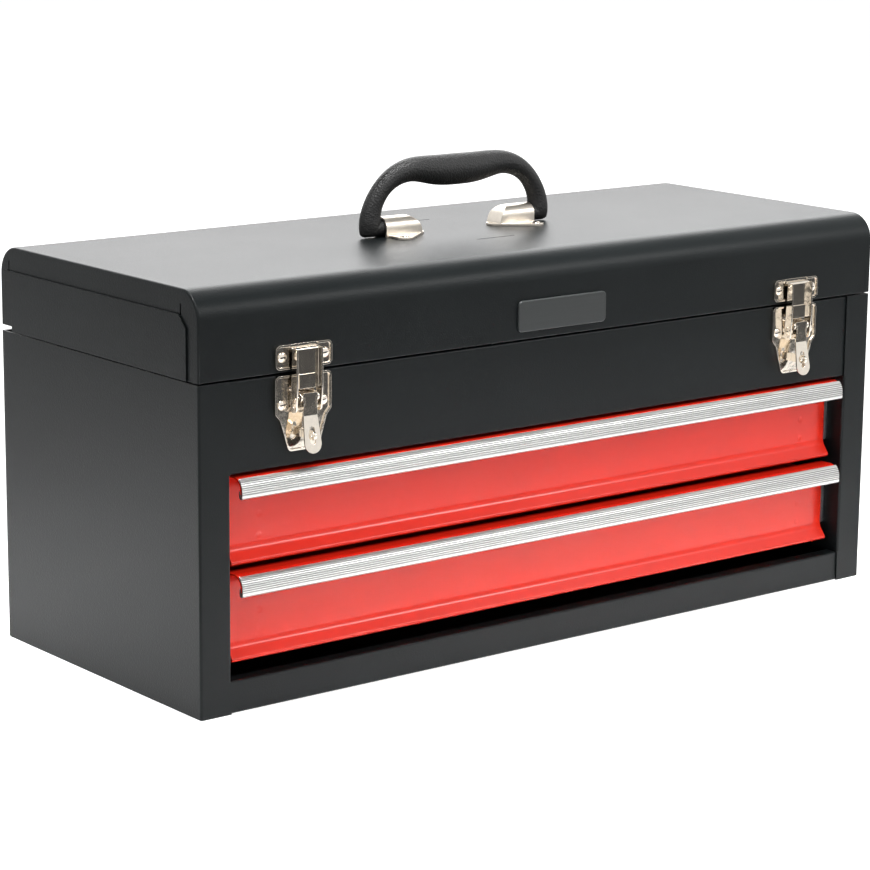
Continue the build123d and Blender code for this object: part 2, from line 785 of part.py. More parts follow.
def lever_outline():
    """Front view of the lever: straight neck and a rounded, slightly wider tongue."""
    y, z = lever_pivot
    top = z + lever_boss
    tip = tongue_width / 2
    end = z - lever_drop - tongue_length + tip
    half = lever_width / 2
    bend = z - lever_drop
    corners = [(-half, top), (half, top), (half, bend), (tip, end), (-tip, end), (-half, bend)]
    neck = Polyline(*corners, close=True)
    return make_face(neck) + Pos(0, end) * Circle(tip)


def latch_lever():
    """Lever with two side flanges round its pins and a flared tongue slotted for the staple."""
    y, z = lever_pivot
    face = y - lever_face
    bend = z - lever_drop
    points = [(face, z + lever_boss), (face, bend), (face - tongue_flare, bend - tongue_length)]
    half = tongue_width / 2
    lever = folded(Plane.YZ, points, 3 * lever_sheet, lever_sheet, -half, half)
    reach = face - tongue_flare - lever_sheet
    lever &= forward(lever_outline(), reach, panel_face)
    spine = Rectangle(lever_sheet, link_pivot_drop + lever_boss)
    cheek = hull_of(Pos(y, z) * Circle(lever_boss), Pos(*link_pivot) * Circle(lever_boss),
                    Pos(face, z - link_pivot_drop / 2) * spine)
    for x0 in (-lever_width / 2, lever_width / 2 - lever_sheet):
        lever += across(cheek, x0, x0 + lever_sheet)
    slot = Pos(0, z - staple_drop) * Rot(0, 0, 90) * SlotOverall(slot_length, slot_width)
    lever -= forward(slot, reach, panel_face)
    lever -= rod_x(pin_radius + running_fit, -half, half, y, z)
    return lever - rod_x(pin_radius + running_fit / 2, -half, half, *link_pivot)


def lever_pin():
    """Pin that the lever turns on, held in the base's ears."""
    reach = lever_width / 2 + latch_side_fit + ear_sheet + latch_side_fit
    return rod_x(pin_radius, -reach, reach, *lever_pivot)


def link_pin():
    """Pin that joins the link to the lever."""
    reach = link_width / 2 + latch_side_fit
    return rod_x(pin_radius, -reach, reach, *link_pivot)


def front_rivets(places, face, grip):
    """Rivets on the front, for both latches."""
    spots = [(side * latch_offset + x, z) for side in (-1, 1) for x, z in places]
    return [Pos(x, face, z) * Rot(90, 0, 0) * rivet(grip) for x, z in spots]


# Every node of the assembly

def build():
    """All nodes by name."""
    nodes = {
        "front_panel": front_panel(),
        "back_panel": back_panel(),
        "bottom_panel": bottom_panel(),
        "till_floor": till_floor(),
        "lid_cover": lid_cover(),
        "handle_stiffener": handle_stiffener(),
        "name_plate": name_plate(),
        "hinge_body_leaf": hinge_half(0, -1),
        "hinge_lid_leaf": hinge_half(1, 1),
        "hinge_pin": hinge_pin(),
        "handle_grip": handle_grip(),
        "handle_rivets": handle_rivets(),
        "latch_base_rivets": front_rivets(base_rivets(), panel_face - base_sheet, base_sheet + sheet),
        "keeper_rivets": front_rivets(keeper_rivets(), -half_d - keeper_sheet, keeper_sheet + sheet),
    }
    pairs = {
        "side_panel": side_panel(),
        "slide_post": slide_post(),
        "lid_end": lid_end_plate(),
        "handle_bracket": handle_bracket(),
    }
    for index, level in enumerate(drawer_levels):
        base = drawer_base + index * drawer_pitch
        nodes[f"{level}_drawer_front"] = drawer_front(base)
        nodes[f"{level}_drawer_ledge"] = drawer_ledge(base)
        nodes[f"{level}_pull_strip"] = pull_strip(base)
        nodes[f"{level}_drawer_tray"] = drawer_tray(base)
        pairs[f"{level}_fixed_slide"] = fixed_slide(base)
        pairs[f"{level}_middle_slide"] = middle_slide(base)
        pairs[f"{level}_moving_slide"] = moving_slide(base)
    for name, shape in pairs.items():
        nodes[f"right_{name}"] = shape
        nodes[f"left_{name}"] = other_side(shape)
    latch = {
        "latch_base": latch_base(),
        "latch_keeper": keeper(),
        "latch_link": latch_link(),
        "latch_lever": latch_lever(),
        "lever_pin": lever_pin(),
        "link_pin": link_pin(),
    }
    for name, shape in latch.items():
        nodes[f"left_{name}"] = Pos(-latch_offset, 0, 0) * shape
        nodes[f"right_{name}"] = Pos(latch_offset, 0, 0) * shape
    return nodes


def main():
    """Writes one STEP file for each node."""
    os.makedirs("parts", exist_ok=True)
    for name, shape in build().items():
        solids = shape if isinstance(shape, list) else [shape]
        solids = [solid for piece in solids for solid in piece.solids()]
        whole = solids[0] if len(solids) == 1 else Compound(solids)
        export_step(whole, f"parts/{name}.step")


main()
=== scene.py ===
"""Looks of a portable steel tool box: paint, plating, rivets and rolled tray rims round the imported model."""

import math

import bpy
from bpy.props import FloatProperty, FloatVectorProperty, PointerProperty
from mathutils import Matrix, Vector


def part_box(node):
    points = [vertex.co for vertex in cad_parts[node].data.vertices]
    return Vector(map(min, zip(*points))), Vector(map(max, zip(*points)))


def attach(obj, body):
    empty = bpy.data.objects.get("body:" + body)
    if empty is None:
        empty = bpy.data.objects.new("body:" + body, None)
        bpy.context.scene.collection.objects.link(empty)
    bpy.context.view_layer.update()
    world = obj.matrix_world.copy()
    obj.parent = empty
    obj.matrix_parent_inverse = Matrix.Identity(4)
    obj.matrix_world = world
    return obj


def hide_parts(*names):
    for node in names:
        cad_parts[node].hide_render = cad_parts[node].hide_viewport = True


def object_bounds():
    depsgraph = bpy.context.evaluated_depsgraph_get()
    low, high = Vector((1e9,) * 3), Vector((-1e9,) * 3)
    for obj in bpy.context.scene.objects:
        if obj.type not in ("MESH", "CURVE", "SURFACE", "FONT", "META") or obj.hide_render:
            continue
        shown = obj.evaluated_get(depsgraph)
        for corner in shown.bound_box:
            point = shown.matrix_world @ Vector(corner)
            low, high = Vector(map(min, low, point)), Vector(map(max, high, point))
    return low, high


bl_info = {
    "name": "Tool box finish",
    "version": (1, 0, 0),
    "blender": (4, 5, 0),
    "location": "View3D > Sidebar > Tool box",
    "description": "Paints a two-drawer tool box and adds its rivets, rolled rims and studio",
    "category": "Object",
}

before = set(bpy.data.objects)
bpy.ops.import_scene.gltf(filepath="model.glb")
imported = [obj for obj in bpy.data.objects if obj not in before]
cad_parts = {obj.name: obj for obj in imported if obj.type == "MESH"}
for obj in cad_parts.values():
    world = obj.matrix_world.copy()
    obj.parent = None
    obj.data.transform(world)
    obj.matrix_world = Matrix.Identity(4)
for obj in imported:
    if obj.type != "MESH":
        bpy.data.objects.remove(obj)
CAD_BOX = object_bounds()

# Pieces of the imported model
LEVELS = ("lower", "upper")
SIDES = ("left", "right")
FOLDED_SHEETS = ("back_panel", "bottom_panel", "lid_cover", "left_side_panel", "right_side_panel")
CUT_SHEETS = ("front_panel", "till_floor", "handle_stiffener", "left_lid_end", "right_lid_end")
DRAWER_SHEETS = ("drawer_front", "drawer_ledge", "drawer_tray")
LATCH_PIECES = ("latch_base", "latch_keeper", "latch_link", "latch_lever", "lever_pin", "link_pin")
SLIDE_PIECES = ("fixed_slide", "middle_slide", "moving_slide")
REAR_PIECES = ("left_slide_post", "right_slide_post", "hinge_body_leaf", "hinge_lid_leaf", "hinge_pin")

# Pull strips: outer radius and start of their bend, and depths under its skin where the painted shade that
# darkens each groove begins, is full and ends
STRIP_BEND = 0.00805
STRIP_START = math.radians(35)
GROOVE_TOP = 0.00003
GROOVE_BOTTOM = 0.00025
STRIP_INSIDE = 0.0006

# Spot welds: distance from a drawer front's end, shares of its height, radii of the dimple
WELD_INSET = 0.0215
WELD_HEIGHTS = (0.28, 0.52)
WELD_CORE = 0.0006
WELD_RIM = 0.0024

# A rivet's tail as shares of its head, and how far a rim lies under the tray's edge in radii
TAIL_HEIGHT = 0.7
TAIL_RADIUS = 0.85
RIM_DROP = 0.4

# Roughness of clean nickel
BRIGHT = 0.03
SATIN = 0.26

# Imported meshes: reach of a merge, bend of faces that count as one flat, bend of a cut edge
MERGE_REACH = 0.000002
FLAT_ANGLE = math.radians(0.4)
CUT_ANGLE = math.radians(35)

# Bends above which an edge stays hard
FOLD_ANGLE = math.radians(40)
RIVET_ANGLE = math.radians(40)
RIM_ANGLE = math.radians(50)

# Studio
WHITE = (1.0, 1.0, 1.0, 1.0)
FLOOR_REACH = 9.0
FLOOR_GAP = 0.0004
FLOOR_SHADE = (0.6, 0.6, 0.6, 1.0)
FLOOR_GLOW = 0.73
FLAG_SHADE = (0.02, 0.02, 0.02, 1.0)
FLAG_HEIGHT = 0.004
CEILING = 2.4
SENSOR_WIDTH = 36.0


class FinishSettings(bpy.types.PropertyGroup):
    """Colours of the finishes and the size of their grain."""

    case_colour: FloatVectorProperty(
        name="Case",
        description="Powder coat of the case and the lid",
        subtype="COLOR",
        min=0.0,
        max=1.0,
        default=(0.0048, 0.0064, 0.0068),
    )
    drawer_colour: FloatVectorProperty(
        name="Drawers",
        description="Enamel of the drawer fronts and trays",
        subtype="COLOR",
        min=0.0,
        max=1.0,
        default=(0.73, 0.022, 0.008),
    )
    strip_colour: FloatVectorProperty(
        name="Pull strips",
        description="Anodised aluminium of the drawer pulls",
        subtype="COLOR",
        min=0.0,
        max=1.0,
        default=(0.71, 0.71, 0.695),
    )
    nickel_colour: FloatVectorProperty(
        name="Latches and brackets",
        description="Bright nickel plate",
        subtype="COLOR",
        min=0.0,
        max=1.0,
        default=(0.8, 0.735, 0.645),
    )
    zinc_colour: FloatVectorProperty(
        name="Slides and hinge",
        description="Zinc plated steel",
        subtype="COLOR",
        min=0.0,
        max=1.0,
        default=(0.55, 0.57, 0.60),
    )
    handle_colour: FloatVectorProperty(
        name="Handle",
        description="Grained plastic of the carrying handle",
        subtype="COLOR",
        min=0.0,
        max=1.0,
        default=(0.012, 0.012, 0.012),
    )
    plate_colour: FloatVectorProperty(
        name="Name plate",
        description="Satin plastic of the blank plate on the lid",
        subtype="COLOR",
        min=0.0,
        max=1.0,
        default=(0.022, 0.025, 0.025),
    )
    coat_grain: FloatProperty(
        name="Coat grain",
        description="Width of one grain in the powder coat",
        unit="LENGTH",
        min=0.0002,
        max=0.005,
        default=0.0009,
    )
    handle_grain: FloatProperty(
        name="Handle grain",
        description="Width of one grain in the handle's moulded skin",
        unit="LENGTH",
        min=0.0002,
        max=0.005,
        default=0.0011,
    )
    edge_softness: FloatProperty(
        name="Edge softness",
        description="Width of the rounding on the cut edges of sheets and pressings",
        unit="LENGTH",
        min=0.00002,
        max=0.0004,
        default=0.00018,
    )


class DetailSettings(bpy.types.PropertyGroup):
    """Sizes of the rivets and of the rolled rims."""

    rivet_head: FloatProperty(
        name="Rivet head",
        description="Radius of a rivet's head",
        unit="LENGTH",
        min=0.001,
        max=0.004,
        default=0.0029,
    )
    rivet_dome: FloatProperty(
        name="Rivet dome",
        description="Height of a rivet's head",
        unit="LENGTH",
        min=0.0003,
        max=0.002,
        default=0.0011,
    )
    rivet_shank: FloatProperty(
        name="Rivet shank",
        description="Radius of a rivet's shank",
        unit="LENGTH",
        min=0.0005,
        max=0.002,
        default=0.00148,
    )
    rim_radius: FloatProperty(
        name="Tray rim",
        description="Radius of the rolled rim of a drawer's tray",
        unit="LENGTH",
        min=0.0005,
        max=0.002,
        default=0.0011,
    )
    rim_corner: FloatProperty(
        name="Rim corner",
        description="Radius of the rim where it turns at the back of the tray",
        unit="LENGTH",
        min=0.001,
        max=0.02,
        default=0.0024,
    )


class StudioSettings(bpy.types.PropertyGroup):
    """Camera and light."""

    azimuth: FloatProperty(
        name="Azimuth",
        description="Direction of the camera round the box",
        subtype="ANGLE",
        default=math.radians(-38.428),
    )
    elevation: FloatProperty(
        name="Elevation",
        description="Height of the camera above the horizon",
        subtype="ANGLE",
        default=math.radians(12.353),
    )
    roll: FloatProperty(
        name="Roll",
        description="Tilt of the camera about its own axis",
        subtype="ANGLE",
        default=math.radians(0.52),
    )
    distance: FloatProperty(
        name="Distance",
        description="From the camera to the point that it looks at",
        unit="LENGTH",
        min=0.2,
        default=1.7649,
    )
    target: FloatVectorProperty(
        name="Target",
        description="Point that the camera looks at",
        subtype="TRANSLATION",
        default=(-0.01419, 0.0, 0.10933),
    )
    lens: FloatProperty(
        name="Lens",
        description="Focal length on a sensor 36 mm wide",
        min=20.0,
        max=300.0,
        default=119.66,
    )
    room_light: FloatProperty(
        name="Room light",
        description="Strength of the even light from all round",
        min=0.0,
        max=2.0,
        default=0.46,
    )
    key_power: FloatProperty(
        name="Key light",
        description="Power of the large soft box in front",
        subtype="POWER",
        min=0.0,
        default=26.0,
    )
    top_power: FloatProperty(
        name="Top light",
        description="Power of the soft box overhead, which lights the handle and the floor in front",
        subtype="POWER",
        min=0.0,
        default=2.7,
    )
    back_power: FloatProperty(
        name="Back light",
        description="Power of the soft box behind, which the lid's top mirrors",
        subtype="POWER",
        min=0.0,
        default=36.0,
    )
    side_power: FloatProperty(
        name="Side light",
        description="Power of the soft box over the floor at the left end",
        subtype="POWER",
        min=0.0,
        default=1.3,
    )
    edge_power: FloatProperty(
        name="Edge light",
        description="Power of the small soft box that draws a line along the lid's bend and the strips",
        subtype="POWER",
        min=0.0,
        default=7.0,
    )


class Wire:
    """An output socket. Sums and products that are written with it lay Math nodes."""

    def __init__(self, graph, socket):
        self.graph = graph
        self.socket = socket

    def math(self, operation, *others):
        """A Math node on this output and others."""
        return self.graph.node("ShaderNodeMath", {"operation": operation}, dict(enumerate((self, *others))))

    def __add__(self, other):
        return self.math("ADD", other)

    def __sub__(self, other):
        return self.math("SUBTRACT", other)

    def __rsub__(self, other):
        return self.graph.node("ShaderNodeMath", {"operation": "SUBTRACT"}, {0: other, 1: self})

    def __mul__(self, other):
        return self.math("MULTIPLY", other)

    def __lt__(self, other):
        return self.math("LESS_THAN", other)

    __radd__ = __add__
    __rmul__ = __mul__


class Graph:
    """A node tree that is filled by calls, for materials and for geometry."""

    def __init__(self, tree):
        self.tree = tree

    def node(self, kind, settings=None, sockets=None, output=0):
        """Adds a node, sets its settings and then its sockets, and returns one of its outputs."""
        made = self.tree.nodes.new(kind)
        for name, value in (settings or {}).items():
            setattr(made, name, value)
        for name, value in (sockets or {}).items():
            self.feed(made.inputs[name], value)
        return Wire(self, made.outputs[output])

    def feed(self, socket, value):
        """Links an output to a socket, or sets the socket's own value."""
        if isinstance(value, Wire):
            self.tree.links.new(value.socket, socket)
        else:
            socket.default_value = value


class Coating(Graph):
    """A material on the piece's own coordinates, with its shader's fixed values set on the sockets."""

    def __init__(self, name, fixed):
        self.material = bpy.data.materials.new(name)
        self.material.use_nodes = True
        super().__init__(self.material.node_tree)
        self.shader = self.tree.nodes["Principled BSDF"]
        self.place = self.node("ShaderNodeTexCoord", output="Object")
        for socket, value in fixed.items():
            self.shader.inputs[socket].default_value = value

    def wear(self, socket, value):
        """Feeds one of the shader's sockets that change over the surface."""
        self.feed(self.shader.inputs[socket], value)

    def stretched(self, scale):
        """The piece's coordinates, scaled by axis."""
        return self.node("ShaderNodeMapping", {}, {"Vector": self.place, "Scale": scale})

    def noise(self, scale, detail=2.0, roughness=0.5, vector=None):
        """Noise with so many grains to the metre."""
        sockets = {
            "Vector": vector or self.place,
            "Scale": scale,
            "Detail": detail,
            "Roughness": roughness,
        }
        return self.node("ShaderNodeTexNoise", {}, sockets)

    def tint(self, factor, colour, start, end):
        """Base colour that runs between two strengths of one colour, by a factor."""
        first, last = ((*(min(1.0, part * share) for part in colour), 1.0) for share in (start, end))
        mixed = self.node("ShaderNodeMix", {"data_type": "RGBA"}, {0: factor, 6: first, 7: last}, output=2)
        self.wear("Base Color", mixed)

    def stepped(self, value, low, high):
        """Smooth step from 0 at low to 1 at high."""
        sockets = {"Value": value, "From Min": low, "From Max": high}
        return self.node("ShaderNodeMapRange", {"interpolation_type": "SMOOTHSTEP"}, sockets)

    def relief(self, *layers):
        """Bump from layers of (height, depth of the relief in metres, strength)."""
        normal = None
        for height, depth, strength in layers:
            sockets = {"Height": height, "Distance": depth, "Strength": strength}
            if normal:
                sockets["Normal"] = normal
            normal = self.node("ShaderNodeBump", {}, sockets)
        self.wear("Normal", normal)


def powder_coat(settings):
    """Black powder coat: fine pimpled grain, a little uneven in gloss."""
    coat = Coating("case_powder_coat", {"Specular IOR Level": 0.17})
    grain = coat.noise(1.0 / settings.coat_grain, 2.0, 0.55)
    cloud = coat.noise(14.0, 3.0)
    coat.tint(cloud, settings.case_colour, 0.8, 1.25)
    coat.wear("Roughness", 0.28 + 0.06 * cloud + 0.1 * grain)
    coat.relief((grain, 0.0002, 0.6), (coat.noise(60.0, 2.0), 0.0002, 0.05))
    return coat.material


def enamel(settings):
    """Gloss red enamel, with the dimples of the spot welds behind the fronts."""
    coat = Coating("drawer_enamel", {"Coat Roughness": 0.05, "Specular IOR Level": 0.36})
    cloud = coat.noise(11.0, 2.0)
    peel = coat.noise(420.0, 2.0)
    coat.tint(cloud, settings.drawer_colour, 0.93, 1.05)
    coat.wear("Roughness", 0.2 + 0.1 * cloud)
    coat.wear("Coat Weight", 0.05 + 0.12 * cloud)
    coat.relief((peel, 0.00003, 0.25), (1.0 - spot_welds(coat), 0.0004, 0.6))
    return coat.material


def spot_welds(coat):
    """1 in the middle of each weld's dimple in the drawer fronts, 0 round it."""
    parts = coat.node("ShaderNodeSeparateXYZ", {}, {0: coat.place})
    x = parts.math("ABSOLUTE")
    z = Wire(coat, parts.socket.node.outputs["Z"])
    dimples = 0.0
    for level in LEVELS:
        low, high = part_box(f"{level}_drawer_front")
        for share in WELD_HEIGHTS:
            along = x - (high.x - WELD_INSET)
            up = z - (low.z + share * (high.z - low.z))
            reach = (along * along + up * up).math("SQRT")
            dimples = dimples + (1.0 - coat.stepped(reach, WELD_CORE, WELD_RIM))
    return dimples


def anodised(settings):
    """Satin aluminium, drawn along its length, with painted shade darkening the base colour in each groove."""
    coat = Coating("pull_aluminium", {"Metallic": 1.0})
    lines = coat.noise(1.0, 2.0, 0.6, coat.stretched((3.0, 2400.0, 2400.0)))
    cloud = coat.noise(25.0, 2.0)
    # Base colour falls to 0.42 of the strip's colour at the bottom of each groove: painted shade
    coat.tint(painted_groove_shade(coat), settings.strip_colour, 1.0, 0.42)
    coat.wear("Roughness", 0.24 + 0.06 * lines + 0.06 * cloud)
    coat.relief((lines, 0.00001, 0.1))
    return coat.material


def painted_groove_shade(coat):
    """1 at the bottom of each groove in the strips, where painted shade darkens the base colour, by the depth
    under the skin of their bend and flat.
    """
    parts = coat.node("ShaderNodeSeparateXYZ", {}, {0: coat.place})
    y, z = (Wire(coat, parts.socket.node.outputs[axis]) for axis in "YZ")
    (lower_low, lower_high), (upper_low, upper_high) = (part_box(f"{level}_pull_strip") for level in LEVELS)
    between = (lower_high.z + upper_low.z) / 2
    centre = upper_high.z - STRIP_BEND * math.cos(STRIP_START)
    rise = z - centre + (upper_high.z - lower_high.z) * (z < between)
    rise = rise.math("MAXIMUM", 0.0)
    inward = y - (lower_low.y + STRIP_BEND)
    depth = STRIP_BEND - (inward * inward + rise * rise).math("SQRT")
    return coat.stepped(depth, GROOVE_TOP, GROOVE_BOTTOM) * (depth < STRIP_INSIDE)


def nickel(settings, name, dullness):
    """Nickel plate over pressed steel, a little wavy and hazed by handling."""
    coat = Coating(name, {"Metallic": 1.0})
    wave = coat.noise(140.0, 2.0)
    haze = coat.noise(420.0, 3.0, 0.6)
    scratch = coat.noise(1.0, 2.0, 0.6, coat.stretched((900.0, 900.0, 60.0)))
    coat.tint(haze, settings.nickel_colour, 0.9, 1.08)
    coat.wear("Roughness", dullness + 0.07 * haze + 0.06 * scratch)
    coat.relief((wave, 0.0004, 0.22), (scratch, 0.00001, 0.2))
    return coat.material


def zinc(settings):
    """Zinc plated steel with a faint spangle and drawn lines."""
    coat = Coating("zinc_plate", {"Metallic": 1.0})
    sockets = {"Vector": coat.place, "Scale": 260.0}
    spangle = coat.node("ShaderNodeTexVoronoi", {"feature": "F1"}, sockets, "Color")
    patch = coat.node("ShaderNodeSeparateColor", {}, {0: spangle})
    lines = coat.noise(1.0, 2.0, 0.6, coat.stretched((1500.0, 8.0, 1500.0)))
    coat.tint(patch, settings.zinc_colour, 0.86, 1.1)
    coat.wear("Roughness", 0.26 + 0.08 * patch + 0.1 * lines)
    coat.relief((lines, 0.00002, 0.25))
    return coat.material


def grained_plastic(settings):
    """Black moulded plastic with a leathery grain, uneven in gloss."""
    coat = Coating("handle_plastic", {"Specular IOR Level": 0.36})
    sockets = {"Vector": coat.place, "Scale": 1.0 / settings.handle_grain, "Smoothness": 0.6}
    cells = coat.node("ShaderNodeTexVoronoi", {"feature": "SMOOTH_F1"}, sockets)
    fine = coat.noise(2600.0, 2.0)
    cloud = coat.noise(40.0, 2.0)
    coat.tint(cloud, settings.handle_colour, 0.8, 1.3)
    coat.wear("Roughness", 0.4 + 0.12 * cloud + 0.1 * fine)
    coat.relief((cells, 0.0004, 0.8), (fine, 0.00006, 0.5))
    return coat.material


def satin_plastic(settings):
    """Satin plate with a fine straight brush along its length."""
    coat = Coating("name_plate_satin", {})
    lines = coat.noise(1.0, 2.0, 0.6, coat.stretched((12.0, 1800.0, 1800.0)))
    cloud = coat.noise(60.0, 2.0)
    coat.tint(lines, settings.plate_colour, 0.8, 1.25)
    coat.wear("Roughness", 0.3 + 0.1 * lines + 0.05 * cloud)
    coat.relief((lines, 0.00002, 0.2))
    return coat.material


def geometry_tree(name, inputs):
    """An empty geometry tree with a Geometry socket each way and the named inputs."""
    tree = bpy.data.node_groups.new(name, "GeometryNodeTree")
    tree.interface.new_socket("Geometry", in_out="INPUT", socket_type="NodeSocketGeometry")
    tree.interface.new_socket("Geometry", in_out="OUTPUT", socket_type="NodeSocketGeometry")
    for label, kind in inputs.items():
        tree.interface.new_socket(label, in_out="INPUT", socket_type=f"NodeSocket{kind}")
    graph = Graph(tree)
    entry = tree.nodes.new("NodeGroupInput")
    return graph, {socket.name: Wire(graph, socket) for socket in entry.outputs if socket.name}


def close_tree(graph, result):
    """Links the result to the tree's output."""
    exit_node = graph.tree.nodes.new("NodeGroupOutput")
    graph.feed(exit_node.inputs[0], result)
    return graph.tree


def joined(graph, *parts):
    """Join Geometry takes many links in one socket."""
    node = graph.tree.nodes.new("GeometryNodeJoinGeometry")
    for part in parts:
        graph.tree.links.new(part.socket, node.inputs[0])
    return Wire(graph, node.outputs[0])


def shaded(graph, mesh, angle):
    """Smooth faces, with the edges sharper than an angle left hard."""
    soft = graph.node("GeometryNodeInputMeshEdgeAngle") < angle
    for domain, smooth in (("FACE", True), ("EDGE", soft)):
        sockets = {"Geometry": mesh, "Shade Smooth": smooth}
        mesh = graph.node("GeometryNodeSetShadeSmooth", {"domain": domain}, sockets)
    return mesh


def smoothing_tree():
    """Shades the folds of a sheet smooth and keeps its cut edges crisp."""
    graph, entry = geometry_tree("smooth_folds", {"Angle": "Float"})
    return close_tree(graph, shaded(graph, entry["Geometry"], entry["Angle"]))


def dome(graph, radius, height):
    """A closed dome on the plane z = 0."""
    ball = graph.node("GeometryNodeMeshUVSphere", {}, {"Segments": 32, "Rings": 18, "Radius": 1.0})
    size = graph.node("ShaderNodeCombineXYZ", {}, {"X": radius, "Y": radius, "Z": height})
    ball = graph.node("GeometryNodeTransform", {}, {"Geometry": ball, "Scale": size})
    place = graph.node("GeometryNodeInputPosition")
    flat = graph.node("ShaderNodeVectorMath", {"operation": "MAXIMUM"}, {0: place, 1: (-1.0, -1.0, 0.0)})
    return graph.node("GeometryNodeSetPosition", {}, {"Geometry": ball, "Position": flat})


def rivet_tree():
    """A domed rivet on each point: head, shank through the sheets and upset tail."""
    inputs = {
        "Head radius": "Float",
        "Head height": "Float",
        "Shank radius": "Float",
        "Grip": "Float",
        "Tail radius": "Float",
        "Tail height": "Float",
        "Turn": "Vector",
    }
    graph, entry = geometry_tree("domed_rivets", inputs)
    head = dome(graph, entry["Head radius"], entry["Head height"])
    sizes = {"Vertices": 24, "Radius": entry["Shank radius"], "Depth": entry["Grip"]}
    shank = graph.node("GeometryNodeMeshCylinder", {}, sizes)
    down = graph.node("ShaderNodeCombineXYZ", {}, {"Z": -0.5 * entry["Grip"]})
    shank = graph.node("GeometryNodeTransform", {}, {"Geometry": shank, "Translation": down})
    tail = dome(graph, entry["Tail radius"], entry["Tail height"])
    below = graph.node("ShaderNodeCombineXYZ", {}, {"Z": -1.0 * entry["Grip"]})
    sockets = {"Geometry": tail, "Translation": below, "Rotation": (math.pi, 0.0, 0.0)}
    tail = graph.node("GeometryNodeTransform", {}, sockets)
    rivet = joined(graph, head, shank, tail)
    sockets = {"Points": entry["Geometry"], "Instance": rivet, "Rotation": entry["Turn"]}
    rivets = graph.node("GeometryNodeInstanceOnPoints", {}, sockets)
    rivets = graph.node("GeometryNodeRealizeInstances", {}, {"Geometry": rivets})
    return close_tree(graph, shaded(graph, rivets, RIVET_ANGLE))


def rim_tree():
    """A round bead along an open path with rounded corners."""
    graph, entry = geometry_tree("rolled_rim", {"Radius": "Float", "Corner": "Float"})
    path = graph.node("GeometryNodeMeshToCurve", {}, {"Mesh": entry["Geometry"]})
    sockets = {"Curve": path, "Count": 6, "Radius": entry["Corner"]}
    path = graph.node("GeometryNodeFilletCurve", {"mode": "POLY"}, sockets)
    sockets = {"Resolution": 14, "Radius": entry["Radius"]}
    ring = graph.node("GeometryNodeCurvePrimitiveCircle", {}, sockets)
    sockets = {"Curve": path, "Profile Curve": ring, "Fill Caps": True}
    bead = graph.node("GeometryNodeCurveToMesh", {}, sockets)
    bead = graph.node("GeometryNodeRealizeInstances", {}, {"Geometry": bead})
    return close_tree(graph, shaded(graph, bead, RIM_ANGLE))


def grown(name, points, edges, tree, values, material):
    """Runs a geometry tree on points and edges, and returns the result as a piece with a plain mesh."""
    seed = bpy.data.meshes.new(f"{name}_path")
    seed.from_pydata(points, edges, [])
    maker = bpy.data.objects.new(f"{name}_maker", seed)
    bpy.context.scene.collection.objects.link(maker)
    modifier = maker.modifiers.new("make", "NODES")
    modifier.node_group = tree
    for item in tree.interface.items_tree:
        if item.in_out == "INPUT" and item.name in values:
            modifier[item.identifier] = values[item.name]
    graph = bpy.context.evaluated_depsgraph_get()
    mesh = bpy.data.meshes.new_from_object(maker.evaluated_get(graph))
    bpy.data.objects.remove(maker)
    bpy.data.meshes.remove(seed)
    if not mesh.polygons:
        raise RuntimeError(f"{name} came out empty")
    mesh.name = name
    mesh.materials.clear()
    mesh.materials.append(material)
    piece = bpy.data.objects.new(name, mesh)
    bpy.context.scene.collection.objects.link(piece)
    return piece


def clad(names, material, softness):
    """Gives CAD nodes their material, softens their cut edges and shades their folds smooth."""
    smoothing = bpy.data.node_groups.get("smooth_folds") or smoothing_tree()
    angle = next(item.identifier for item in smoothing.interface.items_tree if item.name == "Angle")
    for name in names:
        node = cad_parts[name]
        node.data.materials.clear()
        node.data.materials.append(material)
        weld = node.modifiers.new("weld", "WELD")
        weld.merge_threshold = MERGE_REACH
        flats = node.modifiers.new("flats", "DECIMATE")
        flats.decimate_type = "DISSOLVE"
        flats.angle_limit = FLAT_ANGLE
        if softness > 0.0:
            edges = node.modifiers.new("edges", "BEVEL")
            edges.width = softness
            edges.segments = 2
            edges.limit_method = "ANGLE"
            edges.angle_limit = CUT_ANGLE
            edges.use_clamp_overlap = False
        smooth = node.modifiers.new("folds", "NODES")
        smooth.node_group = smoothing
        smooth[angle] = FOLD_ANGLE
        even = node.modifiers.new("even", "WEIGHTED_NORMAL")
        even.keep_sharp = True


def islands(name):
    """Lowest and highest corners of each separate solid of a CAD node."""
    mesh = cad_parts[name].data
    key = [tuple(round(part, 6) for part in vertex.co) for vertex in mesh.vertices]
    owner = {place: place for place in key}

    def root(place):
        while owner[place] != place:
            owner[place] = owner[owner[place]]
            place = owner[place]
        return place

    for polygon in mesh.polygons:
        first, *others = (key[index] for index in polygon.vertices)
        for other in others:
            owner[root(other)] = root(first)
    groups = {}
    for place in owner:
        groups.setdefault(root(place), []).append(place)
    return [(Vector(map(min, zip(*group))), Vector(map(max, zip(*group)))) for group in groups.values()]


def rivet_seats(name, upright, dome):
    """Where the heads of a group of rivets sit on the sheet, and the rivets' length."""
    seats = []
    for low, high in islands(name):
        middle = (low + high) / 2
        if upright:
            seats.append((middle.x, middle.y, high.z - dome))
            length = high.z - low.z
        else:
            seats.append((middle.x, low.y + dome, middle.z))
            length = high.y - low.y
    return seats, length


def finishes():
    return bpy.context.scene.toolbox_finishes


def details():
    return bpy.context.scene.toolbox_details


class TOOLBOX_OT_paint_case(bpy.types.Operator):
    """Powder coat on the sheets of the case and the lid"""

    bl_idname = "toolbox.paint_case"
    bl_label = "Paint the case and lid"

    def execute(self, context):
        coat = powder_coat(finishes())
        clad(FOLDED_SHEETS, coat, 0.0)
        clad(CUT_SHEETS, coat, finishes().edge_softness)
        return {"FINISHED"}


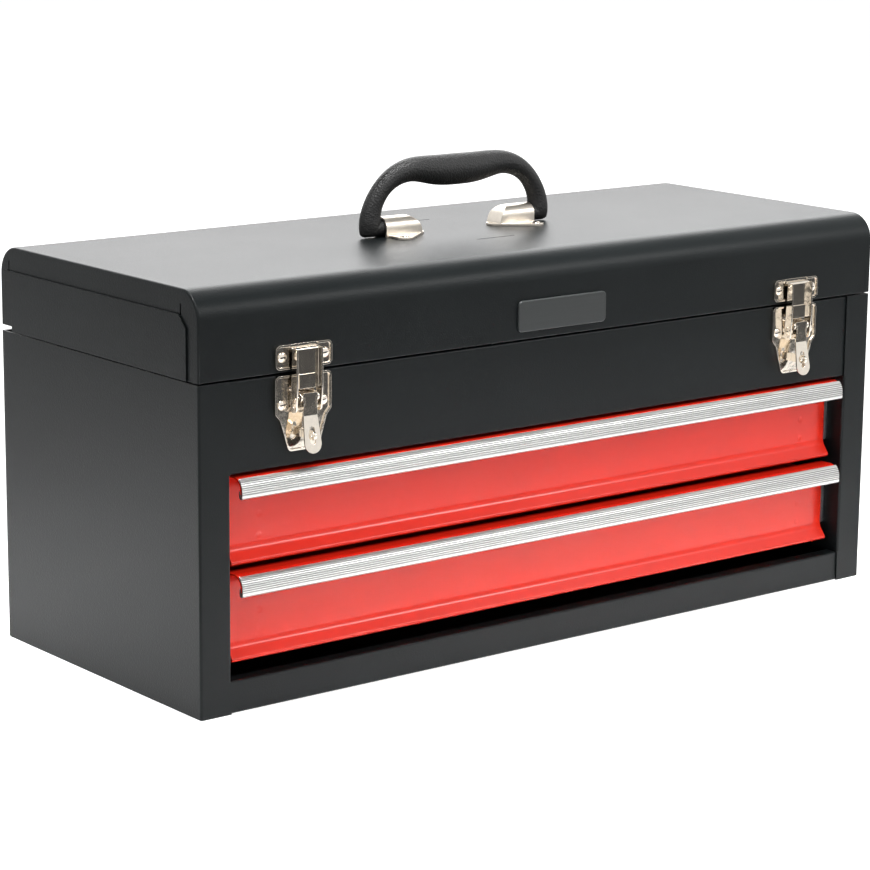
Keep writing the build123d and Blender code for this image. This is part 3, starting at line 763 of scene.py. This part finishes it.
class TOOLBOX_OT_paint_drawers(bpy.types.Operator):
    """Red enamel on the drawer fronts, their ledges and trays"""

    bl_idname = "toolbox.paint_drawers"
    bl_label = "Paint the drawers"

    def execute(self, context):
        names = [f"{level}_{piece}" for level in LEVELS for piece in DRAWER_SHEETS]
        clad(names, enamel(finishes()), finishes().edge_softness)
        return {"FINISHED"}


class TOOLBOX_OT_pull_strips(bpy.types.Operator):
    """Anodised aluminium on the ribbed pull strips"""

    bl_idname = "toolbox.pull_strips"
    bl_label = "Finish the pull strips"

    def execute(self, context):
        names = [f"{level}_pull_strip" for level in LEVELS]
        clad(names, anodised(finishes()), finishes().edge_softness / 3)
        return {"FINISHED"}


class TOOLBOX_OT_plate_latches(bpy.types.Operator):
    """Nickel plate on the draw latches and the handle's brackets"""

    bl_idname = "toolbox.plate_latches"
    bl_label = "Plate the latches and brackets"

    def execute(self, context):
        softness = finishes().edge_softness
        latches = [f"{side}_{piece}" for side in SIDES for piece in LATCH_PIECES]
        clad(latches, nickel(finishes(), "bright_nickel", BRIGHT), softness)
        brackets = [f"{side}_handle_bracket" for side in SIDES]
        clad(brackets, nickel(finishes(), "satin_nickel", SATIN), softness)
        return {"FINISHED"}


class TOOLBOX_OT_plate_slides(bpy.types.Operator):
    """Zinc plate on the drawer slides, their posts and the rear hinge"""

    bl_idname = "toolbox.plate_slides"
    bl_label = "Plate the slides and hinge"

    def execute(self, context):
        slides = [f"{side}_{level}_{piece}" for side in SIDES for level in LEVELS for piece in SLIDE_PIECES]
        clad([*slides, *REAR_PIECES], zinc(finishes()), finishes().edge_softness / 2)
        return {"FINISHED"}


class TOOLBOX_OT_handle(bpy.types.Operator):
    """Grained plastic on the carrying handle"""

    bl_idname = "toolbox.handle"
    bl_label = "Finish the handle"

    def execute(self, context):
        plastic = grained_plastic(finishes())
        clad(["handle_grip"], plastic, finishes().edge_softness)
        return {"FINISHED"}


class TOOLBOX_OT_name_plate(bpy.types.Operator):
    """Satin plastic on the blank name plate"""

    bl_idname = "toolbox.name_plate"
    bl_label = "Finish the name plate"

    def execute(self, context):
        plastic = satin_plastic(finishes())
        clad(["name_plate"], plastic, finishes().edge_softness)
        return {"FINISHED"}


class TOOLBOX_OT_rivets(bpy.types.Operator):
    """Domed rivets in the handle's brackets and the latches"""

    bl_idname = "toolbox.rivets"
    bl_label = "Set the rivets"

    def execute(self, context):
        sizes = details()
        tree = rivet_tree()
        plate = bpy.data.materials["bright_nickel"]
        up, forward = (0.0, 0.0, 0.0), (math.pi / 2, 0.0, 0.0)
        groups = {
            "handle_rivets": ("lid", up),
            "keeper_rivets": ("lid", forward),
            "latch_base_rivets": ("case", forward),
        }
        tail = sizes.rivet_dome * TAIL_HEIGHT
        for name, (body, turn) in groups.items():
            seats, length = rivet_seats(name, turn == up, sizes.rivet_dome)
            values = {
                "Head radius": sizes.rivet_head,
                "Head height": sizes.rivet_dome,
                "Shank radius": sizes.rivet_shank,
                "Grip": length - sizes.rivet_dome - tail,
                "Tail radius": sizes.rivet_head * TAIL_RADIUS,
                "Tail height": tail,
                "Turn": turn,
            }
            piece = grown(f"domed_{name}", seats, [], tree, values, plate)
            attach(piece, body)
            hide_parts(name)
        return {"FINISHED"}


class TOOLBOX_OT_tray_rims(bpy.types.Operator):
    """Rolled rims along the sides and back of the drawer trays"""

    bl_idname = "toolbox.tray_rims"
    bl_label = "Roll the tray rims"

    def execute(self, context):
        radius = details().rim_radius
        tree = rim_tree()
        paint = bpy.data.materials["drawer_enamel"]
        for level in LEVELS:
            low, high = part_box(f"{level}_drawer_tray")
            left, right = low.x + radius, high.x - radius
            front, back = low.y + 2 * radius, high.y - radius
            top = high.z - RIM_DROP * radius
            corners = [(left, front, top), (left, back, top), (right, back, top), (right, front, top)]
            runs = [(0, 1), (1, 2), (2, 3)]
            values = {"Radius": radius, "Corner": details().rim_corner}
            piece = grown(f"{level}_tray_rim", corners, runs, tree, values, paint)
            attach(piece, f"{level}_drawer")
        return {"FINISHED"}


class TOOLBOX_OT_studio(bpy.types.Operator):
    """White floor and room, dark flags, soft boxes and the camera"""

    bl_idname = "toolbox.studio"
    bl_label = "Set up the studio"

    def execute(self, context):
        studio = context.scene.toolbox_studio
        white_room(studio.room_light)
        white_floor()
        flag("front_flag", (-0.2, -2.4), (1.9, -0.64), FLAG_HEIGHT)
        flag("camera_flag", (-2.4, -2.4), (-0.62, -0.3), FLAG_HEIGHT)
        flag("side_flag", (-2.4, 0.5), (-0.74, 2.4), FLAG_HEIGHT)
        flag("ceiling_flag", (-2.2, -2.2), (2.2, 2.0), CEILING)
        wide, narrow, spot = math.pi, math.radians(26), math.radians(20)
        soft_box("key", (-0.4, -1.5, 2.1), (0.0, 0.0, 0.1), (1.3, 0.5), studio.key_power, wide)
        soft_box("back", (0.9, 1.6, 1.3), (0.0, 0.0, 0.2), (2.4, 1.4), studio.back_power, wide)
        soft_box("side", (-0.42, 0.2, 1.7), (-0.42, 0.2, 0.0), (0.2, 0.3), studio.side_power, spot)
        soft_box("top", (0.05, -0.2, 1.7), (0.05, -0.2, 0.0), (0.7, 0.2), studio.top_power, narrow)
        soft_box("edge", (1.15, -1.41, 1.13), (0.0, -0.1, 0.2), (0.5, 0.2), studio.edge_power, wide)
        camera(studio)
        context.scene.view_settings.view_transform = "Standard"
        return {"FINISHED"}


def seen(graph):
    """1 for the rays by which the white surroundings show: straight, mirrored or through glass."""
    rays = graph.node("ShaderNodeLightPath", output="Is Camera Ray")
    outputs = rays.socket.node.outputs
    total = rays + Wire(graph, outputs["Is Glossy Ray"]) + Wire(graph, outputs["Is Transmission Ray"])
    return total.math("MINIMUM", 1.0)


def white_room(level):
    """World that is white to look at and lights the box evenly at a lower level."""
    world = bpy.data.worlds.new("white_room")
    bpy.context.scene.world = world
    world.use_nodes = True
    graph = Graph(world.node_tree)
    background = world.node_tree.nodes["Background"]
    background.inputs["Color"].default_value = WHITE
    graph.feed(background.inputs["Strength"], level + (1.0 - level) * seen(graph))


def level_sheet(name, low, high, height, material):
    """A level rectangle between two corners."""
    corners = (low, (high[0], low[1]), high, (low[0], high[1]))
    mesh = bpy.data.meshes.new(name)
    mesh.from_pydata([(x, y, height) for x, y in corners], [], [(0, 1, 2, 3)])
    mesh.materials.append(material)
    sheet = bpy.data.objects.new(name, mesh)
    bpy.context.scene.collection.objects.link(sheet)
    return sheet


def white_floor():
    """Wide floor that shows white round the box and keeps its shadow."""
    material = bpy.data.materials.new("white_floor")
    material.use_nodes = True
    graph = Graph(material.node_tree)
    matt = graph.node("ShaderNodeBsdfDiffuse", {}, {"Color": FLOOR_SHADE})
    glow = graph.node("ShaderNodeEmission", {}, {"Color": WHITE, "Strength": FLOOR_GLOW * seen(graph)})
    both = graph.node("ShaderNodeAddShader", {}, {0: matt, 1: glow})
    graph.feed(graph.tree.nodes["Material Output"].inputs["Surface"], both)
    under = CAD_BOX[0].z - FLOOR_GAP
    floor = level_sheet("floor", (-FLOOR_REACH, -FLOOR_REACH), (FLOOR_REACH, FLOOR_REACH), under, material)


def flag(name, low, high, height):
    """Black card that only polished surfaces mirror, as the unlit parts of a studio do."""
    material = bpy.data.materials.new(name)
    material.use_nodes = True
    shader = material.node_tree.nodes["Principled BSDF"]
    shader.inputs["Base Color"].default_value = FLAG_SHADE
    shader.inputs["Roughness"].default_value = 1.0
    card = level_sheet(name, low, high, height, material)
    card.visible_camera = card.visible_diffuse = card.visible_shadow = False


def soft_box(name, place, target, size, power, spread):
    """Rectangular soft light that faces a point."""
    data = bpy.data.lights.new(name, "AREA")
    data.shape = "RECTANGLE"
    data.size, data.size_y = size
    data.energy = power
    data.spread = spread
    light = bpy.data.objects.new(name, data)
    light.location = place
    light.rotation_euler = (Vector(target) - Vector(place)).to_track_quat("-Z", "Y").to_euler()
    light.visible_camera = False
    bpy.context.scene.collection.objects.link(light)


def camera(studio):
    """Camera at the viewing angle of the photograph."""
    turn, rise, roll = studio.azimuth, studio.elevation, studio.roll
    back = Vector((math.sin(turn) * math.cos(rise), -math.cos(turn) * math.cos(rise), math.sin(rise)))
    level = Vector((math.cos(turn), math.sin(turn), 0.0))
    upright = back.cross(level)
    right = math.cos(roll) * level + math.sin(roll) * upright
    up = math.cos(roll) * upright - math.sin(roll) * level
    data = bpy.data.cameras.new("camera")
    data.lens = studio.lens
    data.sensor_width = SENSOR_WIDTH
    eye = bpy.data.objects.new("camera", data)
    place = Vector(studio.target) + back * studio.distance
    eye.matrix_world = Matrix.Translation(place) @ Matrix((right, up, back)).transposed().to_4x4()
    bpy.context.scene.collection.objects.link(eye)
    bpy.context.scene.camera = eye


OPERATORS = (
    TOOLBOX_OT_paint_case,
    TOOLBOX_OT_paint_drawers,
    TOOLBOX_OT_pull_strips,
    TOOLBOX_OT_plate_latches,
    TOOLBOX_OT_plate_slides,
    TOOLBOX_OT_handle,
    TOOLBOX_OT_name_plate,
    TOOLBOX_OT_rivets,
    TOOLBOX_OT_tray_rims,
    TOOLBOX_OT_studio,
)


class TOOLBOX_PT_panel(bpy.types.Panel):
    """Finishes, details and studio of the tool box"""

    bl_idname = "TOOLBOX_PT_panel"
    bl_label = "Tool box"
    bl_space_type = "VIEW_3D"
    bl_region_type = "UI"
    bl_category = "Tool box"

    def draw(self, context):
        for settings in GROUPS:
            group = getattr(context.scene, settings)
            box = self.layout.box()
            for name in group.__annotations__:
                box.prop(group, name)
        for operator in OPERATORS:
            self.layout.operator(operator.bl_idname)


GROUPS = {
    "toolbox_finishes": FinishSettings,
    "toolbox_details": DetailSettings,
    "toolbox_studio": StudioSettings,
}


def register():
    for name, group in GROUPS.items():
        bpy.utils.register_class(group)
        setattr(bpy.types.Scene, name, PointerProperty(type=group))
    for cls in (*OPERATORS, TOOLBOX_PT_panel):
        bpy.utils.register_class(cls)


def unregister():
    for cls in (TOOLBOX_PT_panel, *reversed(OPERATORS)):
        bpy.utils.unregister_class(cls)
    for name, group in GROUPS.items():
        delattr(bpy.types.Scene, name)
        bpy.utils.unregister_class(group)


def main():
    register()
    bpy.ops.toolbox.paint_case()
    bpy.ops.toolbox.paint_drawers()
    bpy.ops.toolbox.pull_strips()
    bpy.ops.toolbox.plate_latches()
    bpy.ops.toolbox.plate_slides()
    bpy.ops.toolbox.handle()
    bpy.ops.toolbox.name_plate()
    bpy.ops.toolbox.rivets()
    bpy.ops.toolbox.tray_rims()
    bpy.ops.toolbox.studio()


if __name__ == "__main__":
    main()
